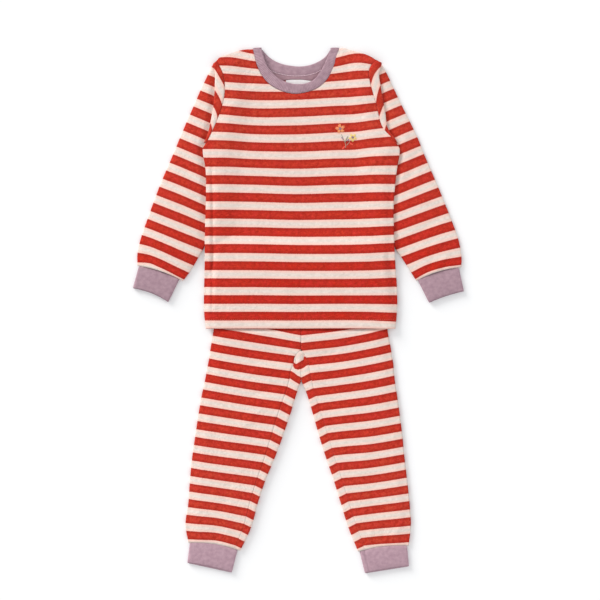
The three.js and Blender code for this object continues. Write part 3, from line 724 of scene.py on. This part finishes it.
def leg_section(hand):
    """Heights, edges and rises of a leg's sections, with the end row tilted like the cuff's seam."""
    table = np.array(LEG[hand], float)
    top, bottom = table[0, 0], table[-1, 0]
    heights = np.linspace(top, bottom, int((top - bottom) / CELL))
    rows = {}
    for k, name in enumerate(LEG_COLUMNS):
        known = ~np.isnan(table[:, k])
        rows[name] = np.interp(-heights, -table[known, 0], table[known, k])
    inner = reader([[row[3], row[0]] for row in LEG[hand] if row[0] <= FORK_Y], 0, 1)
    seam = reader([[row[2], row[0]] for row in LEG[hand] if row[0] <= JUNCTION_Y], 0, 1)
    rows["outer"] = leg_outer_x[hand](heights)
    rows["inner"] = np.where(heights < FORK_Y, inner(heights), rows["inner"])
    rows["seam"] = np.where(heights <= JUNCTION_Y, seam(heights), rows["inner"])
    height, drop = np.array(LEG_DROP[hand]).T
    rows["tilt"] = -np.interp(-heights, -height, drop) / (rows["inner"] - rows["outer"])
    rows["bow"] = LEG_BOW[hand] * ease(1 - (rows["y"] - rows["y"].min()) / 50)
    free = ease((HEM_Y - 0.5 - rows["y"]) / 5) * ease((rows["y"] + 380) / 60)
    full = mix(*BELOW_HEM, ease((HEM_Y - 5 - rows["y"]) / 45))
    rows["rise"] = mix(rows["rise"], np.maximum(rows["rise"], full), free)
    return rows


def leg_y(rows, x):
    """Height on the page of places across a leg's sections."""
    from_outer = x - rows["outer"][:, None]
    share = from_outer / (rows["inner"] - rows["outer"])[:, None]
    return rows["y"][:, None] + from_outer * rows["tilt"][:, None] + bulge(rows["bow"][:, None], share)


def trouser_front(hand, material):
    inward = INWARD[hand]
    rows = leg_section(hand)
    end = rows["seam"] - inward * HALF_GAP * (rows["y"] <= JUNCTION_Y)
    share = np.linspace(0, 1, int(118 / CELL))
    x = mix(rows["outer"][:, None], end[:, None], share)
    y = leg_y(rows, x)
    from_side = np.abs(x - rows["outer"][:, None])
    rise = mix(SHUT, rows["rise"][:, None], ease(from_side / SOFT_EDGE))
    free = ease((HEM_Y - 8 - y) / 20) * ease(from_side / 12)
    points = np.dstack([x, y, WALL / 2 + rise + free * creases(x, y, LEG_CREASES[hand] + CROTCH_CREASES)])
    uv = grid_uv(points, phase(x, y, LEG_STRIPES[hand]))
    walls = [wall(points, uv, WALL, thinning=FLUSH_THINNING, flush=[x.shape[1] - 1])]
    obj = piece(f"trouser_front_{hand}_cloth", walls, material, f"trouser_front_{hand}")


def wrapped_phase(x, y, rows, hand):
    """Stripes of the back panel beside the inseam: steeper, meeting the front's at the seam."""
    seam = np.interp(-y, -rows["y"], rows["seam"])
    inner = np.interp(-y, -rows["y"], rows["inner"])
    past = np.clip(INWARD[hand] * (x - seam), 0, None)
    below = phase(seam, y + past * math.tan(math.radians(25)), LEG_STRIPES[hand])
    share = np.clip(past / (np.abs(inner - seam) + 0.01), 0, 1)
    above = slanted_phase(CROTCH_STRIPES[hand], y, share, 0.35)
    return mix(below, above, ease((y + 137) / 10))


def trouser_back(hand, material):
    """Back panel of a leg: under the leg, round its inner edge and up to the inseam on the front."""
    inward = INWARD[hand]
    rows = leg_section(hand)
    radius = rows["rise"] / 2
    rolled = ease((FORK_Y - rows["y"]) / 8)  # how much of the roll at the inner edge a section has
    edge = rows["inner"] - inward * (WALL / 2 + radius * rolled) * (rows["y"] <= FORK_Y)
    seam = rows["seam"] + inward * HALF_GAP
    below = np.linspace(0, 1, int(150 / HIDDEN_CELL))
    turn = np.linspace(0, math.pi, 10)[1:-1]
    above = np.linspace(1, 0, 10)
    at_roll = np.where(rows["y"] <= FORK_Y + 1e-6, 0.0, np.nan)[:, None]
    at_flap = np.where(rows["y"] <= JUNCTION_Y + 1e-6, 0.0, np.nan)[:, None]
    x = np.hstack([
        mix(rows["outer"][:, None], edge[:, None], below),
        at_roll + edge[:, None] + (inward * rolled * radius)[:, None] * np.sin(turn),
        at_flap + mix(seam[:, None], edge[:, None], above),
    ])
    z = np.hstack([
        np.zeros((len(x), len(below))), radius[:, None] * (1 - np.cos(turn)),
        np.repeat(rows["rise"][:, None], len(above), 1),
    ])
    y = leg_y(rows, x)
    on_top = slice(len(below) + len(turn), None)
    inside = mix(1, ease(np.abs(rows["inner"][:, None] - x) / 8), rolled[:, None])
    free = inside * ease((HEM_Y - 8 - y) / 20)
    z[:, on_top] += (free * creases(x, y, LEG_CREASES[hand] + CROTCH_CREASES))[:, on_top]
    points = np.dstack([x, y, WALL / 2 + z])
    number = phase(x, y, LEG_STRIPES[hand])
    number[:, len(below):] = wrapped_phase(x, y, rows, hand)[:, len(below):]
    seams = [on_top.start, x.shape[1] - 1]
    walls = [wall(points, grid_uv(points, number), WALL, thinning=FLUSH_THINNING, flush=seams)]
    obj = piece(f"trouser_back_{hand}_cloth", walls, material, f"trouser_back_{hand}")


CROTCH_CREASES = [
    [3.6, -64, 3.2, -82, 1.5, -1.3], [-10.5, -66, -8.5, -86, 1.8, -1.1], [-4, -62, -3, -84, 3.5, 0.8],
    [-7, -92, 9, -84, 1.8, -0.9], [-14, -98, -2, -106, 3, 0.7], [14, -98, 4, -104, 3, 0.6],
]


def waistband(material):
    share = np.linspace(0, 1, 8)
    outer = np.stack([0 * share + WAIST["left"], mix(WAIST["top"], WAIST["bottom"], share)], -1)
    inner = outer + [WAIST["right"] - WAIST["left"], 0]
    points = tube(outer, inner, np.full(8, 2.9), RIB_WALL, 4)
    walls = [wall(points, plan_uv(points), RIB_WALL, ring=True)]
    obj = piece("waistband_rib", walls, material, "waistband")


# Materials

class Nodes:
    """Short names for the shader nodes of one material."""

    def __init__(self, name):
        self.material = bpy.data.materials.new(name)
        self.material.use_nodes = True
        self.tree = self.material.node_tree
        self.shader = self.tree.nodes["Principled BSDF"]

    def new(self, kind):
        return self.tree.nodes.new("ShaderNode" + kind)

    def link(self, value, socket):
        """Join a socket to a value, a colour or another node's output."""
        if isinstance(value, bpy.types.NodeSocket):
            self.tree.links.new(value, socket)
        else:
            socket.default_value = (*value, 1) if isinstance(value, tuple) else value

    def fill(self, node, *values):
        """The first output of a node whose first sockets take the values."""
        for value, socket in zip(values, node.inputs):
            self.link(value, socket)
        return node.outputs[0]

    def math(self, operation, a, b=0.0, c=0.0):
        node = self.new("Math")
        node.operation = operation
        return self.fill(node, a, b, c)

    def split(self, place):
        """The x and y of a place."""
        node = self.new("SeparateXYZ")
        self.link(place, node.inputs[0])
        return node.outputs[0], node.outputs[1]

    def uv(self):
        node = self.new("UVMap")
        node.uv_map = "cloth"
        return self.split(node.outputs[0])

    def object_place(self):
        return self.new("TexCoord").outputs["Object"]

    def noise(self, place, scale, detail=2.0, rough=0.5):
        node = self.new("TexNoise")
        for name, value in zip(("Vector", "Scale", "Detail", "Roughness"), (place, scale, detail, rough)):
            self.link(value, node.inputs[name])
        return node.outputs["Fac"]

    def between(self, value, low, high, to_low=0.0, to_high=1.0):
        node = self.new("MapRange")
        node.interpolation_type = "SMOOTHSTEP"
        return self.fill(node, value, low, high, to_low, to_high)

    def colour(self, share, a, b):
        node = self.new("Mix")
        node.data_type = "RGBA"
        self.link(share, node.inputs["Factor"])
        for value, socket in zip((a, b), [s for s in node.inputs if s.type == "RGBA"]):
            self.link(value, socket)
        return next(s for s in node.outputs if s.type == "RGBA")

    def finish(self, colour, height, depth, roughness, sheen, tint=(1, 1, 1)):
        bump = self.new("Bump")
        self.link(depth, bump.inputs["Distance"])
        self.link(height, bump.inputs["Height"])
        values = {"Base Color": colour, "Normal": bump.outputs[0], "Roughness": roughness, "Sheen Tint": tint,
                  "Specular IOR Level": 0.15, "Sheen Weight": sheen, "Sheen Roughness": 0.45}
        for name, value in values.items():
            self.link(value, self.shader.inputs[name])
        return self.material


def srgb(red, green, blue):
    """Linear colour from the 0 to 255 values seen on a screen."""
    return tuple((v / 12.92 if v <= 0.04045 else ((v + 0.055) / 1.055) ** 2.4) for v in
                 (red / 255, green / 255, blue / 255))


def striped_velour():
    n = Nodes("striped_velour")
    across, number = n.uv()
    place = n.object_place()
    pile = n.noise(place, 1100, 3, 0.65)
    tuft = n.noise(place, 330, 2)
    patch = n.noise(place, 150, 3, 0.6)
    drawn_out = n.fill(n.new("CombineXYZ"), n.math("MULTIPLY", across, 0.35), n.math("MULTIPLY", number, 9.0))
    streak = n.noise(drawn_out, 4.2, 2)
    wobble = n.math("MULTIPLY", n.math("SUBTRACT", n.noise(place, 700, 2), 0.5), 0.035)
    swing = n.math("PINGPONG", n.math("ADD", number, wobble), 0.5)
    red_share = n.between(swing, 0.242, 0.286, 1.0, 0.0)
    # Painted sheen: the red turns paler and more orange further up or down the page from a line low on the top,
    # standing in for light caught by the pile.
    from_hem = n.math("ABSOLUTE", n.math("SUBTRACT", n.split(place)[1], 0.02))
    painted_sheen = n.math("MULTIPLY_ADD", n.noise(place, 9, 2), 0.35, from_hem)
    red = n.colour(n.between(painted_sheen, 0.12, 0.55), srgb(206, 17, 4), srgb(207, 77, 56))
    red = n.colour(n.between(n.noise(place, 75, 1), 0.4, 0.62, 0.0, 0.5), red, srgb(206, 44, 48))
    red = n.colour(n.between(patch, 0.34, 0.62, 0.85, 0.0), red, srgb(168, 28, 16))
    red = n.colour(n.between(streak, 0.42, 0.72, 0.0, 0.75), red, srgb(230, 68, 44))
    red = n.colour(n.between(tuft, 0.3, 0.72, 0.4, 0.0), red, srgb(162, 28, 16))
    red = n.colour(n.math("MULTIPLY", n.between(pile, 0.42, 0.72), 0.4), red, srgb(226, 72, 48))
    red = n.colour(n.between(swing, 0.06, 0.2, 0.0, 0.5), red, srgb(158, 34, 24))
    cream = n.colour(n.between(patch, 0.34, 0.64), srgb(226, 210, 201), srgb(240, 225, 216))
    cream = n.colour(n.between(tuft, 0.3, 0.75, 0.35, 0.0), cream, srgb(216, 202, 192))
    cream = n.colour(n.between(streak, 0.4, 0.7, 0.0, 0.5), cream, srgb(248, 232, 223))
    cream = n.colour(n.between(swing, 0.46, 0.32, 0.0, 0.85), cream, srgb(252, 206, 192))
    colour = n.colour(red_share, cream, red)
    height = n.math("MULTIPLY_ADD", patch, 1.2, n.math("MULTIPLY", pile, 0.8))
    height = n.math("MULTIPLY_ADD", tuft, 0.6, height)
    return n.finish(colour, height, 0.0011, 0.92, 0.12, srgb(255, 225, 215))


def rib_knit(name, light, dark, pitch, relief):
    """Knitted rib with wales at a pitch in centimetres."""
    n = Nodes(name)
    across, length = n.uv()
    place = n.object_place()
    wale = n.math("SINE", n.math("MULTIPLY", across, 2 * math.pi / pitch))
    stitch = n.math("SINE", n.math("MULTIPLY", length, 2 * math.pi / 0.1))
    soft = n.noise(place, 170, 3)
    fine = n.noise(place, 1500, 2)
    shade = n.math("MULTIPLY_ADD", wale, 0.3 * relief, soft)
    colour = n.colour(n.between(shade, 0.05, 0.95), dark, light)
    height = n.math("MULTIPLY_ADD", stitch, 0.15, n.math("MULTIPLY_ADD", wale, relief, fine))
    return n.finish(colour, height, 0.0005, 0.85, 0.15, light)


def woven_label():
    n = Nodes("woven_label")
    across, length = n.uv()
    warp = n.math("SINE", n.math("MULTIPLY", across, 2 * math.pi / 0.05))
    weft = n.math("SINE", n.math("MULTIPLY", length, 2 * math.pi / 0.05))
    weave = n.math("MULTIPLY", warp, weft)
    colour = n.colour(n.between(weave, -1.0, 1.0), srgb(246, 240, 240), srgb(255, 252, 252))
    return n.finish(colour, weave, 0.0001, 0.55, 0.1)


def thread(name, colour):
    n = Nodes(name)
    twist = n.noise(n.object_place(), 2400, 2)
    light = tuple(min(1.0, c * 1.25 + 0.02) for c in colour)
    return n.finish(n.colour(n.between(twist, 0.35, 0.65), colour, light), twist, 0.0002, 0.5, 0.1)


# Stitches

def thread_mesh(runs, radius, sides=6):
    """Threads along runs of points, pinched in at both ends, as closed meshes."""
    places, faces = [], []
    for run in runs:
        run = np.asarray(run, float)
        ahead = np.gradient(run, axis=0)
        ahead /= np.linalg.norm(ahead, axis=1, keepdims=True)
        side = np.cross(ahead, [0, 0, 1])
        side /= np.maximum(np.linalg.norm(side, axis=1, keepdims=True), 1e-9)
        up = np.cross(side, ahead)
        share = np.linspace(0, 1, len(run))
        girth = radius * np.clip(np.sin(math.pi * share) * 2.2, 0.25, 1)
        start = sum(len(p) for p in places)
        turn = np.arange(sides) * 2 * math.pi / sides
        ring = side[:, None] * np.cos(turn)[None, :, None] + up[:, None] * np.sin(turn)[None, :, None]
        places.append((run[:, None] + ring * girth[:, None, None]).reshape(-1, 3))
        index = start + np.arange(len(run) * sides).reshape(len(run), sides)
        nxt = np.roll(index, -1, axis=1)
        for i in range(len(run) - 1):
            for j in range(sides):
                faces.append([index[i, j], nxt[i, j], nxt[i + 1, j], index[i + 1, j]])
        faces.append(list(index[0, ::-1]))
        faces.append(list(index[-1]))
    return np.vstack(places), faces


def thread_piece(name, runs, radius, material):
    obj = add_mesh(name, *thread_mesh(runs, radius), material)
    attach(obj, "root")


def stitch_runs(path, surface, length, gap):
    """Short runs along a path of x, y, each dipping into the surface at its ends."""
    reach = np.concatenate([[0], np.cumsum(np.linalg.norm(np.diff(path, axis=0), axis=1))])
    runs = []
    for start in np.arange(0, reach[-1] - length, length + gap):
        at = np.linspace(start, start + length, 5)
        xy = np.stack([np.interp(at, reach, path[:, k]) for k in (0, 1)], -1)
        z = surface(xy[:, 0], xy[:, 1]) + np.array([-0.2, 0.1, 0.16, 0.1, -0.2])
        runs.append(np.column_stack([xy, z]))
    return runs


def front_top(x, y):
    return front_middle(x, y) + WALL / 2


def hem_stitches(material):
    x = np.linspace(-152, 149, 200)
    path = np.stack([x, 0 * x + HEM_Y + 14.8], -1)
    thread_piece("hem_stitches", stitch_runs(path, front_top, 2.6, 0.9), 0.22, material)


def neck_stitches(material):
    """The row that holds the tape down, along the back neck seam."""
    path = along(NECK["back"], np.linspace(0.14, 0.86, 160)) + [0, 0.3]
    level = WALL + LAYER_GAP + TAPE_WALL
    runs = stitch_runs(path, lambda x, y: level + 0 * x, 2.2, 0.3)
    thread_piece("neck_stitches", runs, 0.55, material)


def petal_runs(middle, radius, start, petals, per_petal, spread):
    """Long stitches fanned out over the petals of a flower, shorter towards each petal's sides."""
    runs = []
    for k in range(petals):
        for j in range(per_petal):
            off = (j / (per_petal - 1) - 0.5) * 2
            angle = start + 2 * math.pi * k / petals + off * spread
            reach = radius * (1 - 0.3 * off * off) * (1 + 0.08 * math.sin(5 * k + 3 * j))
            ahead = np.array([math.cos(angle), math.sin(angle)])
            xy = np.array(middle) + np.linspace(1.5, reach, 5)[:, None] * ahead
            runs.append(on_front(xy))
    return runs


def on_front(xy):
    """A stitch on the front panel through points of x, y, dipping in at its ends."""
    dip = np.full(len(xy), 0.25)
    dip[[0, -1]] = -0.15
    return np.column_stack([xy, front_top(xy[:, 0], xy[:, 1]) + dip])


def leaf_runs(base, tip, width):
    """Slanting stitches across a small leaf."""
    base, tip = np.array(base, float), np.array(tip, float)
    ahead = tip - base
    side = np.array([-ahead[1], ahead[0]]) / np.linalg.norm(ahead)
    runs = []
    for at in np.arange(0.12, 0.95, 0.8 / np.linalg.norm(ahead)):
        half = width / 2 * math.sin(math.pi * at)
        share = np.linspace(-1, 1, 5)[:, None]
        runs.append(on_front(base + ahead * (at + 0.12 * share) + side * half * share))
    return runs


def knot_runs(middles):
    """Small coiled knots."""
    turn = np.linspace(0, 4 * math.pi, 17)
    ring = np.stack([np.cos(turn), np.sin(turn)], -1) * np.linspace(0.9, 0.35, 17)[:, None]
    climb = np.linspace(0, 0.5, 17)[:, None] * [0, 0, 1]
    return [on_front(np.array(middle) + ring) + climb for middle in middles]


def stem_runs(path):
    return stitch_runs(along(path, np.linspace(0, 1, 60)), lambda x, y: front_top(x, y) + 0.1, 2.6, -0.5)


def embroidery():
    """A small sprig of two flowers on the wearer's left."""
    first, second = (62, 294), (82, 280)
    orange = petal_runs(first, 8.5, 0.5, 5, 6, 0.42)
    yellow = petal_runs(second, 7.2, 0.9, 5, 6, 0.4)
    outline = petal_runs(first, 6.4, 0.5 + math.pi / 5, 5, 2, 0.1)
    lilac = knot_runs([(x + 1.1 * math.cos(a), y + 1.1 * math.sin(a)) for x, y in (first, second)
                       for a in (0.4, 2.5, 4.6)] + [(64.5, 279.5), (66.3, 277.8), (74, 275), (75.4, 276.6)])
    stems = stem_runs([[63.5, 285.5], [67, 277], [70.5, 269], [70.5, 261.5]])
    stems += stem_runs([[77.5, 274.2], [74.5, 270], [70.8, 266]])
    coral = leaf_runs((70.3, 266), (64.5, 261), 3.2) + leaf_runs((76.6, 272), (82.5, 267.5), 3.0)
    stems += leaf_runs((69.5, 273), (74.5, 282), 2.6)
    thread_piece("orange_petals", orange, 0.45, thread("orange_thread", srgb(238, 150, 100)))
    thread_piece("yellow_petals", yellow, 0.45, thread("yellow_thread", srgb(226, 200, 122)))
    thread_piece("petal_lines", outline, 0.3, thread("brown_thread", srgb(150, 74, 44)))
    thread_piece("knots", lilac, 0.4, thread("lilac_thread", srgb(158, 128, 150)))
    thread_piece("stems", stems, 0.42, thread("green_thread", srgb(156, 156, 138)))
    thread_piece("leaves", coral, 0.42, thread("coral_thread", srgb(226, 84, 68)))


# Stage

def stage():
    size = 3000
    below = 0.2
    n = Nodes("ground")
    n.shader.inputs["Base Color"].default_value = (0.94, 0.94, 0.945, 1)
    n.shader.inputs["Roughness"].default_value = 1.0
    n.shader.inputs["Specular IOR Level"].default_value = 0.0
    corners = np.array([(x * size, y * size, -below) for x, y in ((-1, -1), (1, -1), (1, 1), (-1, 1))])
    ground = add_mesh("ground", corners + MIDDLE, [(0, 1, 2, 3)], n.material)

    world = bpy.data.worlds.new("studio")
    world.use_nodes = True
    world.node_tree.nodes["Background"].inputs["Color"].default_value = (0.98, 0.99, 1.0, 1)
    world.node_tree.nodes["Background"].inputs["Strength"].default_value = 0.85
    SCENE.world = world

    sun = bpy.data.lights.new("window", "SUN")
    sun.energy = 2.6
    sun.angle = math.radians(28)
    sun.color = (1.0, 0.985, 0.96)
    lamp = bpy.data.objects.new("window", sun)
    lamp.rotation_euler = Vector((2.1, -2.3, -1.0)).to_track_quat("-Z", "Y").to_euler()
    SCENE.collection.objects.link(lamp)

    camera_data = bpy.data.cameras.new("camera")
    camera_data.lens = 100
    camera_data.sensor_width = 36
    photo_width = 0.96
    photo_middle = (np.array([-2.4, 20.0, 6.0]) - MIDDLE) * MM
    camera = bpy.data.objects.new("camera", camera_data)
    distance = photo_width * camera_data.lens / camera_data.sensor_width
    camera.location = (photo_middle[0], photo_middle[1], photo_middle[2] + distance)
    SCENE.collection.objects.link(camera)
    SCENE.camera = camera
    SCENE.view_settings.view_transform = "Standard"
    SCENE.view_settings.look = "None"


def build():
    velour = striped_velour()
    mauve = rib_knit("mauve_rib", srgb(202, 168, 180), srgb(172, 138, 151), 0.13, 0.3)
    dusky = rib_knit("dusky_rib", srgb(192, 160, 171), srgb(163, 131, 143), 0.13, 0.3)
    band = rib_knit("mauve_band", srgb(198, 165, 176), srgb(164, 131, 143), 0.24, 0.6)
    tape = rib_knit("mauve_tape", srgb(184, 148, 156), srgb(158, 124, 134), 0.13, 0.3)
    front = body_panel("front", front_middle, FRONT_CELL, velour)
    back = body_panel("back", back_middle, HIDDEN_CELL, velour)
    for hand in ("left", "right"):
        sleeve(hand, velour)
        end = SLEEVE[hand][-1]
        cuff(f"sleeve_cuff_{hand}", end, SLEEVE_BOW[hand], SLEEVE_CUFF[hand], dusky)
        trouser_front(hand, velour)
        trouser_back(hand, velour)
        row = dict(zip(LEG_COLUMNS, LEG[hand][-1]))
        end = [row["outer"], row["y"], row["inner"], row["y"] - LEG_DROP[hand][-1][1]]
        cuff(f"leg_cuff_{hand}", end, LEG_BOW[hand], LEG_CUFF[hand], mauve)
    neckband(band)
    neck_tape(tape)
    neck_label(woven_label())
    waistband(mauve)
    hem_stitches(thread("hem_thread", srgb(206, 96, 78)))
    neck_stitches(thread("neck_thread", srgb(240, 206, 216)))
    embroidery()


build()
stage()
